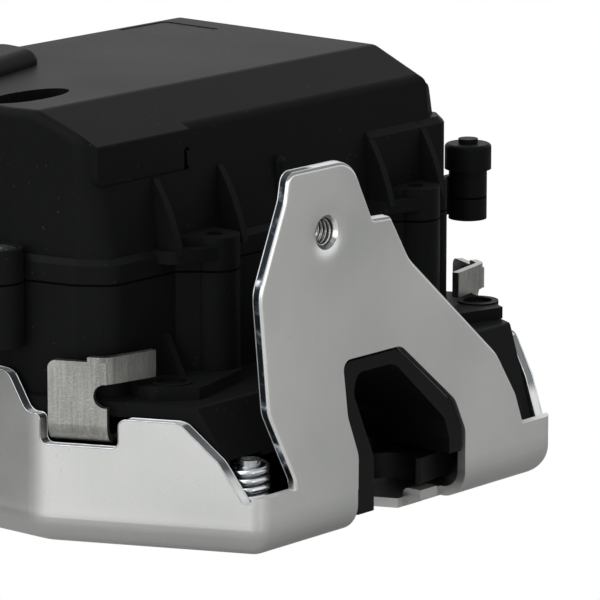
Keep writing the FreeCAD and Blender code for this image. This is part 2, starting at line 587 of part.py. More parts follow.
def mouth_liner():
    """Plastic tunnel that leads the striker in; its left leg reaches down through the pan."""
    roof = [(0.6, -10, 0), (0.6, 60, 0), (8, 60, 0), (8, 38, 3), (LINER_STEP_Y, LINER_ROOF_Z, 3),
            (LINER_BACK_Y + LINER_WALL, LINER_ROOF_Z, 2), (LINER_BACK_Y + LINER_WALL, -10, 0)]
    outer = front_prism(mouth_outline(0.7, LINER_FOOT_Z), 0.6, LINER_BACK_Y + LINER_WALL)
    lip = front_prism(mouth_outline(-0.6, LINER_FOOT_Z), PAN_SHEET + GAP, PAN_SHEET + GAP + 2)
    outer = fuse([outer, lip]).common(side_prism(roof, -40, 40))
    inner = front_prism(liner_way(), -1, LINER_BACK_Y)
    hollow_roof = [(-2, -10, 0), (-2, 60, 0), (6, 60, 0), (6, 36, 3),
                   (LINER_STEP_Y - 1, LINER_ROOF_Z - LINER_WALL, 3),
                   (LINER_BACK_Y, LINER_ROOF_Z - LINER_WALL, 2), (LINER_BACK_Y, -10, 0)]
    inner = inner.common(side_prism(hollow_roof, -40, 40))
    over_claw = box(-11.5, 40, -5, LINER_BACK_Y + 10, -5, MECH_Z + CLAW_THICK + 0.9)
    beside = box(-40, MOUTH_LEFT + 0.6, -5, LINER_BACK_Y + 10, -5, PAN_BEND + 0.6)
    past_seat = box(-40, 0, LINER_BACK_Y - GAP, LINER_BACK_Y + 10, -5, MECH_Z + CLAW_THICK + 0.9)
    in_sheet = box(-40, 0, LINER_BACK_Y - 5.5, LINER_BACK_Y + 10, -5, PAN_SHEET + GAP)
    spring_room = rod(CLAW_X, CLAW_Y, MECH_Z + CLAW_THICK, SPRING_Z + 9, CLAW_PIN_R + 2 * SPRING_WIRE_R + 1.2)
    catch_way = rod(CLAW_X, CLAW_Y, -1, MECH_Z + CLAW_THICK + 0.9, CLAW_CATCH_R + 0.8)
    for tool in (inner, over_claw, beside, past_seat, in_sheet, spring_room, catch_way):
        outer = outer.cut(tool)
    return outer


def striker_buffer():
    """Soft stop at the end of the lane, on the liner's back wall."""
    front = SEAT_Y + STRIKER_R + 0.3
    return plan_prism([(-11.2, front, 1), (1.5, front, 1), (1.5, LINER_BACK_Y, 0), (-11.2, LINER_BACK_Y, 0)],
                      MECH_Z + CLAW_THICK + 1.2, 19.0)


def housing_outline():
    return [(HOUSING_LEFT + 8.0, HOUSING_FRONT_Y, 5), (HOUSING_RIGHT, HOUSING_FRONT_Y, 3), (WING_RIGHT, 36.5, 3),
            (WING_RIGHT, 94, 4), (HOUSING_RIGHT, 100, 4), (HOUSING_RIGHT, HOUSING_BACK_Y, 4),
            (HOUSING_LEFT, HOUSING_BACK_Y, 10), (HOUSING_LEFT, 52, 10), (HOUSING_LEFT + 3.4, CORNER_BEND_Y, 5)]


def outline_prism(inset, z0, z1):
    face = plan_face(housing_outline(), z0)
    if inset > 0:
        face = face.makeOffset2D(-inset)
    return face.extrude(UP * (z1 - z0))


def column_blocks(z0, z1):
    """Front columns with the flat web that joins each to the wall, corner rib, side and back bosses."""
    shapes = []
    for x, y in COLUMNS:
        web = [(x - 8.6, HOUSING_FRONT_Y + 2, 0), (x - 8.6, HOUSING_FRONT_Y, 0), (x - COLUMN_R, y - 1, 1),
               (x + COLUMN_R, y - 1, 0), (x + COLUMN_R, HOUSING_FRONT_Y + 2, 0)]
        shapes.append(plan_prism(web, z0, z1))
        shapes.append(rod(x, y, z0, z1, COLUMN_R))
    shapes.append(rod(HOUSING_RIGHT - 2.6, HOUSING_FRONT_Y + 0.2, z0, z1, CORNER_RIB_R))
    for x, y in SCREW_BOSSES:
        shapes.append(rod(x, y, max(z0, PARTING_Z - 13), z1, COLUMN_R))
    return shapes


def base_flange():
    """Floor of the housing with its two ringed lobes at the front corners."""
    z0, z1 = TRAY_TOP_Z, HOUSING_FLOOR_TOP
    lobes = []
    for x, y in PEGS:
        side = 1 if x > 0 else -1
        lobe = [(x - side * 2, y - 7.4, 0), (x, y - 7.4, 0),
                (x + side * 7.0, y - 1, 3), (x + side * 7.0, y + 3, 3),
                (x + side * 1.5, y + 16, 3), (x - side * 14, y + 16, 0), (x - side * 20, y - 2.5, 3)]
        if side < 0:
            lobe = [lobe[0]] + lobe[:0:-1]
        inside_tabs = plan_prism(pan_outline(BRIDGE_SHEET + 2 * GAP), z0, z1)
        lobes.append(plan_prism(lobe, z0, z1).common(inside_tabs))
    return fuse([outline_prism(0, z0, z1)] + lobes)


def lower_housing():
    tub = outline_prism(0, HOUSING_FLOOR_TOP - 0.5, PARTING_Z)
    hollow = outline_prism(HOUSING_WALL, HOUSING_FLOOR_TOP, PARTING_Z + 1)
    columns = column_blocks(HOUSING_FLOOR_TOP - 0.5, PARTING_Z)
    rings = [rod(x, y, TRAY_TOP_Z, HOUSING_FLOOR_TOP + 0.3, PEG_R + 1.4) for x, y in PEGS]
    foot = HOUSING_FRONT_Y - 5.5
    rib = [(foot, HOUSING_FLOOR_TOP - 1, 0), (HOUSING_FRONT_Y + 1, HOUSING_FLOOR_TOP - 1, 0),
           (HOUSING_FRONT_Y + 1, 38.5, 0), (HOUSING_FRONT_Y - 0.6, 38.5, 0.5)]
    rib_x = PEGS[0][0] + 4.6
    rib = side_prism(rib, rib_x - 0.8, rib_x + 0.8)
    shell = fuse([base_flange(), tub, rib] + columns + rings).cut(hollow)
    bush_seat = rod(WHEEL_X, WHEEL_Y, TRAY_TOP_Z, HOUSING_FLOOR_TOP + 6, SHAFT_R + 5)
    saddle = []
    for x in (MOTOR_END_X + 6, MOTOR_END_X + MOTOR_LENGTH - 6):
        block = box(x - 1.5, x + 1.5, WORM_Y - 9, WORM_Y + 9, HOUSING_FLOOR_TOP - 0.5, PARTING_Z - 1)
        saddle.append(block)
    inside = fuse([bush_seat] + saddle)
    motor_room = x_rod(MOTOR_END_X - 10, MOTOR_END_X + MOTOR_LENGTH + 10, MOTOR_R + 0.1)
    shell = fuse([shell, inside.cut(motor_room)])
    cuts = [rod(WHEEL_X, WHEEL_Y, 0, HOUSING_FLOOR_TOP + 10, SHAFT_R + BUSH_WALL + FIT)]
    for x, y in PEGS:
        cuts.append(rod(x, y, 0, HOUSING_FLOOR_TOP + 10, PEG_R + FIT))
    for x, y in HOUSING_SCREWS:
        cuts.append(rod(x, y, 0, HOUSING_FLOOR_TOP + 10, SCREW_R + 0.2))
    for x, y in SCREW_BOSSES + COLUMNS:
        cuts.append(rod(x, y, PARTING_Z - 11, PARTING_Z + 1, SCREW_R + FIT))
    plug = plug_box(FIT)
    return shell.cut(Part.makeCompound(cuts)).cut(plug)


def plug_box(grow):
    w = PLUG_WIDTH / 2 + grow
    h = PLUG_HEIGHT / 2 + grow
    outline = [(PLUG_X - w, PLUG_Z - h, 2), (PLUG_X + w, PLUG_Z - h, 2),
               (PLUG_X + w, PLUG_Z + h, 2), (PLUG_X - w, PLUG_Z + h, 2)]
    return front_prism(outline, HOUSING_BACK_Y - HOUSING_WALL - 1, HOUSING_BACK_Y + 30)


def cover_lean(inset):
    """Side view of the cover's drafted front, taken up past the top."""
    foot = HOUSING_FRONT_Y + RIM_STEP - 0.9 + inset
    rise = COVER_CHAMFER_Z - PARTING_Z
    lean = (COVER_FRONT_TOP_Y - foot + inset) / rise
    above = COVER_TOP_Z - PARTING_Z + 1
    return [(foot, PARTING_Z, 0), (foot + lean * above, PARTING_Z + above, 0),
            (150, PARTING_Z + above, 0), (150, PARTING_Z, 0)]


def cover_side(inset):
    """Side view of the cover's long chamfer, flat top and drafted back."""
    fall = (COVER_TOP_Z - COVER_CHAMFER_Z) / (COVER_CHAMFER_Y - COVER_FRONT_TOP_Y)
    ahead = 30.0
    return [(COVER_FRONT_TOP_Y - ahead, 30, 0), (COVER_FRONT_TOP_Y - ahead, COVER_CHAMFER_Z - inset - ahead * fall, 0),
            (COVER_CHAMFER_Y + inset * 0.25, COVER_TOP_Z - inset, 3),
            (HOUSING_BACK_Y - 0.8 - inset, COVER_TOP_Z - inset, 3), (HOUSING_BACK_Y - inset, 30, 0)]


def soft_front(block):
    """Rounds the edge where the drafted front meets the corner's facet."""
    corner = [e for e in block.Edges if e.BoundBox.XMax < HOUSING_LEFT + 14 and e.BoundBox.YMin < COVER_FRONT_TOP_Y
              and e.BoundBox.YMax < 39 and e.BoundBox.ZLength > 30 and e.BoundBox.YLength > 1]
    return block.makeFillet(COVER_CORNER_R, corner)


def cover_block(inset):
    right = HOUSING_RIGHT - 1.9
    main = [(HOUSING_LEFT + 9.0, HOUSING_FRONT_Y, 0), (right, HOUSING_FRONT_Y, 2.5), (right, HOUSING_BACK_Y, 4),
            (HOUSING_LEFT + RIM_STEP, HOUSING_BACK_Y, 9), (HOUSING_LEFT + RIM_STEP, 53, 8),
            (HOUSING_LEFT + 4.9, CORNER_BEND_Y, COVER_CORNER_R)]
    wing_x = WING_RIGHT - RIM_STEP
    wing = [(30, 20, 0), (30, 77.5, 0), (right, 77.3, 3), (right + 3.2, 76.0, 3), (wing_x - 0.4, 66.0, 3),
            (wing_x, 20, 0)]
    wing_plan = [(30, HOUSING_FRONT_Y + 4.4, 0), (right + 0.6, HOUSING_FRONT_Y + 4.4, 3), (wing_x, 38.6, 3),
                 (wing_x, 93, 4), (46, 97, 4), (30, 97, 0)]
    z0 = PARTING_Z
    plan = plan_face(main, z0)
    wing_face = plan_face(wing_plan, z0)
    slope = Part.Face(rounded(wing, lambda p: V(p.x, 0, p.y)))
    if inset > 0:
        plan = plan.makeOffset2D(-inset)
        wing_face = wing_face.makeOffset2D(-inset)
        slope = slope.makeOffset2D(-inset)
    block = plan.extrude(UP * 60).common(side_prism(cover_lean(inset), -90, 90))
    if inset == 0:
        block = soft_front(block)
    block = block.common(side_prism(cover_side(inset), -90, 90))
    if inset == 0:
        block = soft_crease(block)
    side = wing_face.extrude(UP * 60).common(slope.extrude(INWARD * 150))
    return fuse([block, side])


def soft_crease(block):
    """Rounds the lower edge of the long chamfer, round the front, the corner and the left wall."""
    fall = (COVER_TOP_Z - COVER_CHAMFER_Z) / (COVER_CHAMFER_Y - COVER_FRONT_TOP_Y)
    crease = []
    for edge in block.Edges:
        spots = [edge.valueAt(t) for t in (edge.FirstParameter, (edge.FirstParameter + edge.LastParameter) / 2,
                                           edge.LastParameter)]
        off = max(abs(p.z - COVER_CHAMFER_Z + (COVER_FRONT_TOP_Y - p.y) * fall) for p in spots)
        if off < 0.01 and min(p.z for p in spots) < COVER_CHAMFER_Z + 1.5:
            crease.append(edge)
    return block.makeFillet(COVER_CREASE_R, crease)


def cover_band():
    """Raised field at the left of the front, whose top runs into the long chamfer."""
    fall = (COVER_TOP_Z - COVER_CHAMFER_Z) / (COVER_CHAMFER_Y - COVER_FRONT_TOP_Y)
    top_z = COVER_CHAMFER_Z - (COVER_FRONT_TOP_Y - BAND_Y) * fall
    side = side_prism([(BAND_Y, BAND_LOW_Z, 0.6), (BAND_Y, top_z, 0.5), (BAND_Y + 8, top_z + 8 * fall, 0),
                       (BAND_Y + 8, BAND_LOW_Z, 0)], BAND_LEFT, BAND_RIGHT)
    front = front_prism([(BAND_LEFT, BAND_LOW_Z, 2.2), (BAND_RIGHT, BAND_LOW_Z, 0), (BAND_RIGHT, 90, 0),
                         (BAND_LEFT, 90, 0)], BAND_Y - 1, BAND_Y + 9)
    return side.common(front)


def cover_shoulder():
    """Lower, wider part of the cover's right end, with a chamfered top."""
    right = WING_RIGHT - RIM_STEP
    front = HOUSING_FRONT_Y + 1.6
    left = GUSSETS[2] + 0.4
    plan = [(left, front, 0), (right - 4.0, front, 3), (right, front + 4.0, 3), (right, 92, 3),
            (40, 92, 0), (40, 50, 0), (left, 50, 0)]
    shoulder = plan_prism(plan, PARTING_Z, SHOULDER_TOP_Z)
    high = [e for e in shoulder.Edges if e.BoundBox.ZMin > SHOULDER_TOP_Z - 0.01 and e.BoundBox.XMax > right - 5
            and e.BoundBox.YMin < 90]
    return shoulder.makeChamfer(1.3, high)


def cover_dome():
    """Long raised back on the left of the cover's top, over the wheel's clutch, with rolled edges."""
    top = COVER_TOP_Z + DOME_RISE
    plan = [(DOME_RIGHT, 84.6, 4), (DOME_RIGHT + 1.5, 97.0, 4), (HOUSING_LEFT + 8, 97.0, 3),
            (HOUSING_LEFT + 8, 74.5, 3)]
    dome = plan_prism(plan, COVER_TOP_Z - 1, top)
    high = [e for e in dome.Edges if e.BoundBox.ZMin > top - 0.01]
    return dome.makeFillet(DOME_RISE - 0.4, high)


def cover_hollows():
    """Oval pocket and blank field in the cover's top, and the slot at the end of its front band."""
    half = (POCKET_RIGHT - POCKET_LEFT) / 2
    oval = Part.Ellipse(V(0, 0, 0), half, POCKET_HALF_WIDTH).toShape()
    oval.translate(V(POCKET_RIGHT - half, POCKET_Y, COVER_TOP_Z - POCKET_DEPTH))
    pocket = Part.Face(Part.Wire(oval)).extrude(UP * 10)
    field = plan_prism([(FIELD_LEFT, FIELD_FRONT, 1), (FIELD_RIGHT, FIELD_FRONT, 1), (FIELD_RIGHT, FIELD_BACK, 1),
                        (FIELD_LEFT, FIELD_BACK, 1)], COVER_TOP_Z - FIELD_DEPTH, COVER_TOP_Z + 1)
    slot = [(BAND_RIGHT - SLOT_WIDTH, BAND_LOW_Z, 0.7), (BAND_RIGHT, BAND_LOW_Z, 0.7),
            (BAND_RIGHT, BAND_LOW_Z + SLOT_HEIGHT, 0.7), (BAND_RIGHT - SLOT_WIDTH, BAND_LOW_Z + SLOT_HEIGHT, 0.7)]
    return [pocket, field, front_prism(slot, BAND_Y - 1, BAND_Y + 8)]


def top_cover():
    outer = cover_block(0)
    rim = outline_prism(0, PARTING_Z, RIM_TOP_Z)
    top_edges = [e for e in rim.Edges if e.BoundBox.ZMin > RIM_TOP_Z - 0.01]
    rim = rim.makeChamfer(1.2, top_edges)
    ears = column_blocks(PARTING_Z, EAR_TOP_Z)
    gussets = []
    foot_y = HOUSING_FRONT_Y - 4.2
    foot_z = RIM_TOP_Z - 1
    wall_y = HOUSING_FRONT_Y + 5
    for x in GUSSETS:
        foot = V(x, foot_y, foot_z)
        top = V(x, HOUSING_FRONT_Y + 2.6, GUSSET_TOP_Z)
        top_in = V(x, wall_y, GUSSET_TOP_Z)
        foot_in = V(x, wall_y, foot_z)
        arc = Part.Arc(foot, V(x, foot_y + 2.6, 62.2), top)
        lines = [Part.LineSegment(a, b) for a, b in ((top, top_in), (top_in, foot_in), (foot_in, foot))]
        web = Part.Wire([edge.toShape() for edge in [arc] + lines])
        gussets.append(Part.Face(web).extrude(ACROSS * 1.7))
    stub = Part.makeSphere(STUB_R, V(STUB_X, HOUSING_FRONT_Y + 2.4, STUB_TOP_Z))
    gussets.append(fuse([rod(STUB_X, HOUSING_FRONT_Y + 2.4, RIM_TOP_Z - 1, STUB_TOP_Z, STUB_R), stub]))
    for left, (x, y) in ((GUSSETS[0], COLUMNS[0]), (GUSSETS[2], COLUMNS[1])):
        shelf = [(left - 2.5, HOUSING_FRONT_Y + 3, 0), (left - 0.6, HOUSING_FRONT_Y - 3.4, 3),
                 (x - 0.5, y - COLUMN_R + 0.2, 1), (x + 1.0, HOUSING_FRONT_Y + 3, 0)]
        gussets.append(plan_prism(shelf, RIM_TOP_Z - 2.6, RIM_TOP_Z))
    shell = fuse([outer, rim, cover_band(), cover_shoulder()] + ears + gussets)
    hollow = cover_block(HOUSING_WALL + 0.9)
    low_hollow = outline_prism(HOUSING_WALL, PARTING_Z - 1, RIM_TOP_Z - 2.4)
    shell = fuse([shell.cut(hollow).cut(low_hollow), cover_dome()])
    upper_seat = rod(WHEEL_X, WHEEL_Y, WHEEL_Z + WHEEL_FACE + 1.5, COVER_TOP_Z - 1, SHAFT_R + 5)
    shell = fuse([shell, upper_seat])
    cuts = [rod(WHEEL_X, WHEEL_Y, 0, WHEEL_Z + WHEEL_FACE + 9, SHAFT_R + BUSH_WALL + FIT)]
    for x, y in SCREW_BOSSES:
        cuts.append(rod(x, y, PARTING_Z - 1, EAR_TOP_Z + 1, SCREW_R + 0.3))
        cuts.append(rod(x, y, HEAD_SEAT_Z, COVER_TOP_Z - 8, SCREW_HEAD_R + 0.3))
    for x, y in COLUMNS:
        cuts.append(rod(x, y, EAR_TOP_Z - 0.6, EAR_TOP_Z + 1, 1.7))
        cuts.append(rod(x, y, PARTING_Z - 1, EAR_TOP_Z - 2, SCREW_R + FIT))
    return shell.cut(Part.makeCompound(cuts + cover_hollows()))


def housing_seal():
    """Thin soft cord in the parting plane, just inside the wall."""
    outer = plan_face(housing_outline(), PARTING_Z - 0.8).makeOffset2D(-HOUSING_WALL - 0.2)
    inner = plan_face(housing_outline(), PARTING_Z - 0.8).makeOffset2D(-HOUSING_WALL - 1.8)
    return outer.cut(inner).extrude(UP * 1.6)


def pan_screw(x, y, z_seat, length, r):
    head = rod(x, y, z_seat, z_seat + 2.2, SCREW_HEAD_R)
    socket = rod(x, y, z_seat + 1.0, z_seat + 3, 1.3)
    shank = rod(x, y, z_seat - length, z_seat + 0.2, r)
    return fuse([head, shank]).cut(socket)


def worm_wheel():
    """Straight-toothed wheel, generous backlash, light webs, on its steel shaft."""
    pitch_r = WHEEL_TEETH * WHEEL_MODULE / 2
    root_r = pitch_r - WHEEL_MODULE
    tip_r = pitch_r + TOOTH_TIP
    z0 = WHEEL_Z
    blank = rod(WHEEL_X, WHEEL_Y, z0, z0 + WHEEL_FACE, root_r)
    half_root = 0.62 * WHEEL_MODULE
    half_tip = 0.26 * WHEEL_MODULE
    tooth = [(root_r - 0.6, -half_root, 0), (tip_r, -half_tip, 0),
             (tip_r, half_tip, 0), (root_r - 0.6, half_root, 0)]
    tooth = plan_prism(tooth, z0, z0 + WHEEL_FACE)
    tooth.translate(V(WHEEL_X, WHEEL_Y, 0))
    step = 360.0 / WHEEL_TEETH
    teeth = [turned(tooth, WHEEL_X, WHEEL_Y, -90 + (i + 0.5) * step) for i in range(WHEEL_TEETH)]
    wheel = fuse([blank] + teeth)
    recess = tube(WHEEL_X, WHEEL_Y, z0 + 5, z0 + WHEEL_FACE + 1, root_r - 2.6, WHEEL_HUB_R)
    holes = []
    for i in range(6):
        x, y = polar(WHEEL_X, WHEEL_Y, (root_r + WHEEL_HUB_R) / 2 - 1, 60 * i)
        holes.append(rod(x, y, z0 - 1, z0 + 7, 3.4))
    bore = rod(WHEEL_X, WHEEL_Y, z0 - 1, z0 + WHEEL_FACE + 1, SHAFT_R + FIT)
    return wheel.cut(Part.makeCompound([recess])).cut(Part.makeCompound(holes + [bore]))


def worm():
    """Single-start worm: a helical thread round a core, along X."""
    pitch = math.pi * WHEEL_MODULE
    root_r = WORM_R - 2.0
    half_root = pitch * 0.27
    half_tip = pitch * 0.10
    helix = Part.makeHelix(pitch, WORM_LENGTH, root_r)
    start = [V(root_r - 0.4, 0, -half_root), V(WORM_R, 0, -half_tip), V(WORM_R, 0, half_tip),
             V(root_r - 0.4, 0, half_root)]
    section = Part.Wire(Part.makePolygon(start + [start[0]]))
    thread = Part.Wire(helix.Edges).makePipeShell([section], True, True)
    core = Part.makeCylinder(root_r, WORM_LENGTH + 2 * pitch, V(0, 0, -pitch), UP)
    body = core.fuse(thread)
    trim = Part.makeCylinder(WORM_R + 1, WORM_LENGTH, V(0, 0, 0), UP)
    body = body.common(trim)
    bore = Part.makeCylinder(MOTOR_SHAFT_R + FIT, WORM_LENGTH + 4, V(0, 0, -2), UP)
    body = body.cut(bore)
    body.rotate(V(0, 0, 0), UP, 90 - 360 * (WORM_LENGTH / 2 / pitch))
    body.rotate(V(0, 0, 0), INWARD, 90)
    body.translate(V(WHEEL_X - WORM_LENGTH / 2, WORM_Y, WORM_Z))
    return body


def x_rod(x0, x1, r):
    return Part.makeCylinder(r, x1 - x0, V(x0, WORM_Y, WORM_Z), ACROSS)


def motor_pieces():
    y, z = WORM_Y, WORM_Z
    front = MOTOR_END_X + MOTOR_LENGTH
    flats = box(MOTOR_END_X, front, y - MOTOR_R, y + MOTOR_R, z - MOTOR_R, z + MOTOR_R * 0.8)
    can = x_rod(MOTOR_END_X, front, MOTOR_R).common(flats)
    nose = x_rod(front - 0.5, front + 1.6, 3.2)
    inside = x_rod(MOTOR_END_X + 1.0, front + 3, MOTOR_SHAFT_R + RUNNING)
    can = fuse([can, nose]).cut(inside)
    cap = x_rod(MOTOR_END_X - 3.0, MOTOR_END_X, MOTOR_R * 0.78)
    tabs = [box(MOTOR_END_X - 6.0, MOTOR_END_X - 2.5, y - 0.3, y + 0.3, z + dz - 1.2, z + dz + 1.2)
            for dz in (-5, 5)]
    shaft = x_rod(MOTOR_END_X + 1.3, WHEEL_X + WORM_LENGTH / 2 + 7, MOTOR_SHAFT_R)
    bearing_x = WHEEL_X + WORM_LENGTH / 2 + 2.0
    bearing = box(bearing_x, bearing_x + 5, y - 5, y + 5, HOUSING_FLOOR_TOP, z)
    bearing_bore = x_rod(bearing_x - 1, bearing_x + 6, MOTOR_SHAFT_R + RUNNING)
    bearing = fuse([bearing, x_rod(bearing_x, bearing_x + 5, 5)]).cut(bearing_bore)
    return can, cap, tabs, shaft, bearing


def bush(z0, z1):
    return tube(WHEEL_X, WHEEL_Y, z0, z1, SHAFT_R + BUSH_WALL, SHAFT_R + RUNNING)


def output_cam():
    """Spiral cam: its radius falls evenly as the wheel turns, at the follower's distance."""
    rest = polar(PAWL_X, PAWL_Y, FOLLOWER_REACH, FOLLOWER_ANGLE)
    engaged = polar(PAWL_X, PAWL_Y, FOLLOWER_REACH, FOLLOWER_ANGLE - PAWL_SWING)

    def seen(point):
        dx, dy = point[0] - WHEEL_X, point[1] - WHEEL_Y
        return math.hypot(dx, dy) - FOLLOWER_R - GAP, math.degrees(math.atan2(dy, dx)) % 360

    r_rest, a_rest = seen(rest)
    r_engaged, a_engaged = seen(engaged)
    a_engaged -= WHEEL_SWING
    slope = (r_rest - r_engaged) / (a_rest - a_engaged)
    first, last, count = a_engaged - 14, a_rest + 14, 10
    points = []
    for i in range(count + 1):
        angle = first + (last - first) * i / count
        r = r_rest + slope * (angle - a_rest)
        points.append(V(*polar(WHEEL_X, WHEEL_Y, min(r, r_rest + 0.1), angle), CAM_Z))
    curve = Part.BSplineCurve()
    curve.interpolate(points)
    centre = V(WHEEL_X, WHEEL_Y, CAM_Z)
    edges = [curve.toShape(), Part.LineSegment(points[-1], centre).toShape(),
             Part.LineSegment(centre, points[0]).toShape()]
    lobe = Part.Face(Part.Wire(edges)).extrude(UP * CAM_THICK)
    hub = rod(WHEEL_X, WHEEL_Y, CAM_Z, CAM_Z + CAM_THICK + 3, CAM_HUB_R)
    bore = rod(WHEEL_X, WHEEL_Y, CAM_Z - 1, CAM_Z + CAM_THICK + 5, SHAFT_R + FIT)
    return fuse([lobe, hub]).cut(bore)


def side_post():
    """Round post beside the housing on a short bracket, open under its cap."""
    body = rod(POST_X, POST_Y, POST_FOOT_Z, POST_CAP_Z, POST_R)
    stem = rod(POST_X, POST_Y, POST_CAP_Z - 1, POST_CAP_TOP_Z - 1.2, POST_R - 1.2)
    bracket = box(WING_RIGHT, POST_X, POST_Y + 2.2, POST_Y + 3.8, POST_FOOT_Z + 1, POST_CAP_Z - 1.5)
    return fuse([body, stem, bracket])


def post_cap():
    cap = rod(POST_X, POST_Y, POST_CAP_Z, POST_CAP_TOP_Z, POST_R + 0.9)
    top = [e for e in cap.Edges if e.BoundBox.ZMin > POST_CAP_TOP_Z - 0.01]
    cap = cap.makeFillet(0.8, top)
    knob = rod(POST_X, POST_Y, POST_CAP_TOP_Z - 0.5, POST_CAP_TOP_Z + 1.0, 2.1)
    return fuse([cap, knob]).cut(rod(POST_X, POST_Y, POST_CAP_Z - 1, POST_CAP_TOP_Z - 1.2, POST_R - 1.2 + FIT))


def connector_socket():
    """Socket shroud through the back wall, open backwards, with a flange inside."""
    y0 = HOUSING_BACK_Y - HOUSING_WALL
    y1 = HOUSING_BACK_Y + PLUG_REACH
    w, h = PLUG_WIDTH / 2, PLUG_HEIGHT / 2
    shroud = plug_box(0).common(box(PLUG_X - 50, PLUG_X + 50, y0 - 0.5, y1, 0, 100))
    plate = box(PLUG_X - w - 1.5, PLUG_X + w + 1.5, y0 - 2.2, y0 - 0.4, PLUG_Z - h - 1.5, PLUG_Z + h + 1.5)
    hollow = front_prism([(PLUG_X - w + 1.4, PLUG_Z - h + 1.4, 1), (PLUG_X + w - 1.4, PLUG_Z - h + 1.4, 1),
                          (PLUG_X + w - 1.4, PLUG_Z + h - 1.4, 1), (PLUG_X - w + 1.4, PLUG_Z + h - 1.4, 1)],
                         HOUSING_BACK_Y - 1, y1 + 1)
    latch = box(PLUG_X - 3, PLUG_X + 3, y1 - 6, y1 - 2, PLUG_Z + h - 0.2, PLUG_Z + h + 1.6)
    pins = [box(x - 0.45, x + 0.45, y0 - 5, y1 - 4, PLUG_Z - 0.45, PLUG_Z + 0.45) for x in pin_places()]
    return fuse([shroud, plate, latch]).cut(hollow).cut(Part.makeCompound(pins))


def pin_places():
    gap = (PLUG_WIDTH - 8) / (PIN_COUNT - 1)
    return [PLUG_X - (PLUG_WIDTH - 8) / 2 + i * gap for i in range(PIN_COUNT)]


def connector_pins():
    """Square pins, each bent down inside to the contact carrier."""
    y0, y1 = HOUSING_BACK_Y - HOUSING_WALL, HOUSING_BACK_Y + PLUG_REACH
    pins = []
    for x in pin_places():
        blade = box(x - 0.4, x + 0.4, y0 - 5, y1 - 4, PLUG_Z - 0.4, PLUG_Z + 0.4)
        leg = box(x - 0.4, x + 0.4, y0 - 5, y0 - 4.2, CARRIER_TOP, PLUG_Z)
        pins.append(fuse([blade, leg]))
    return pins


def contact_carrier():
    outline = [(18, 64, 2), (44, 64, 2), (44, 102, 1), (8, 102, 1), (8, 96, 1), (24, 90, 2), (24, 74, 1)]
    plate = plan_prism(outline, HOUSING_FLOOR_TOP, CARRIER_TOP)
    x, y = HOUSING_SCREWS[1]
    return plate.cut(rod(x, y, HOUSING_FLOOR_TOP - 1, CARRIER_TOP + 1, SCREW_HEAD_R + 1))


def contact_strips():
    strips = []
    for i, x in enumerate(pin_places()):
        x = min(x, 42.0)
        strips.append(box(x - 0.8, x + 0.8, 97.0 - i, 98.2, CARRIER_TOP, CARRIER_TOP + 0.4))
    return strips


def position_switch():
    z0, z1 = 0, MECH_Z + CLAW_THICK + 1.5
    body = box(SWITCH_X, SWITCH_X + 6, CLAW_Y - 7, CLAW_Y + 7, z0, z1)
    way = Part.makeCylinder(PLUNGER_R + RUNNING, 5, V(SWITCH_X - 1, CLAW_Y, MECH_Z + CLAW_THICK / 2), ACROSS)
    return body.cut(way)


def switch_plunger():
    start = SWITCH_X - SWITCH_TRAVEL - 0.5
    return Part.makeCylinder(PLUNGER_R, 3.2, V(start, CLAW_Y, MECH_Z + CLAW_THICK / 2), ACROSS)


def save_group(name, shapes):
    save(name, Part.makeCompound(shapes))


if __name__ == "__main__":
    save("base_pan", base_pan())
    save("bridge_plate", bridge_plate())
    save("claw_pin", rivet_pin(CLAW_X, CLAW_Y, CLAW_PIN_R))
    save("pawl_pin", rivet_pin(PAWL_X, PAWL_Y, PAWL_PIN_R))
    core, jacket = claw_shapes()
    save("claw_core", core)
    save("claw_jacket", jacket)
    pawl, follower = pawl_parts()
    save("pawl", pawl)
    save("pawl_follower", follower)
    save("claw_spring", torsion_spring(CLAW_X, CLAW_Y, SPRING_Z, 3.25, CLAW_PIN_R, (5.0, 3.6), 20))
    save("pawl_spring", torsion_spring(PAWL_X, PAWL_Y, SPRING_Z, 3.25, PAWL_PIN_R, (5.0, 5.0), 200))
    save("corner_pin", corner_pin())
    corner_spring_z = PAN_BEND + 1.6
    save("corner_spring", torsion_spring(CORNER_PIN_X, CORNER_PIN_Y, corner_spring_z, 4.25, CORNER_PIN_R,
                                         (5.0, 1.0), 0))
    save("mechanism_cover", mechanism_cover())
    save("mouth_liner", mouth_liner())
    save("striker_buffer", striker_buffer())
    save("lower_housing", lower_housing())
    save("top_cover", top_cover())
    save("housing_seal", housing_seal())
    save_group("cover_screws", [pan_screw(x, y, HEAD_SEAT_Z, 14, SCREW_R) for x, y in SCREW_BOSSES])
    save_group("housing_screws", [pan_screw(x, y, HOUSING_FLOOR_TOP, 20, SCREW_R) for x, y in HOUSING_SCREWS])
    save("worm_wheel", worm_wheel())
    save("output_shaft", rod(WHEEL_X, WHEEL_Y, CAM_Z - 1, WHEEL_TOP + 8, SHAFT_R))
    save("output_cam", output_cam())
    save("lower_bush", bush(TRAY_TOP_Z - MOULDING_WALL, HOUSING_FLOOR_TOP + 6))
    save("upper_bush", bush(WHEEL_TOP + 1, WHEEL_TOP + 9))
    can, cap, tabs, shaft, bearing = motor_pieces()
    save("motor_case", can)
    save("motor_end_cap", cap.cut(Part.makeCompound(tabs)))
    save_group("motor_terminals", tabs)
    save("motor_shaft", shaft)
    save("worm", worm())
    save("worm_bearing", bearing)
    save("side_post", side_post())
    save("post_cap", post_cap())
    save("connector_socket", connector_socket())
    save_group("connector_pins", connector_pins())
    save("contact_carrier", contact_carrier())
    save_group("contact_strips", contact_strips())
    save("position_switch", position_switch())
    save("switch_plunger", switch_plunger())
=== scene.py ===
"""Tailgate lock actuator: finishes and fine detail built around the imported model, in metres, same frame."""
import bpy
import json
import math
from mathutils import Matrix, Vector


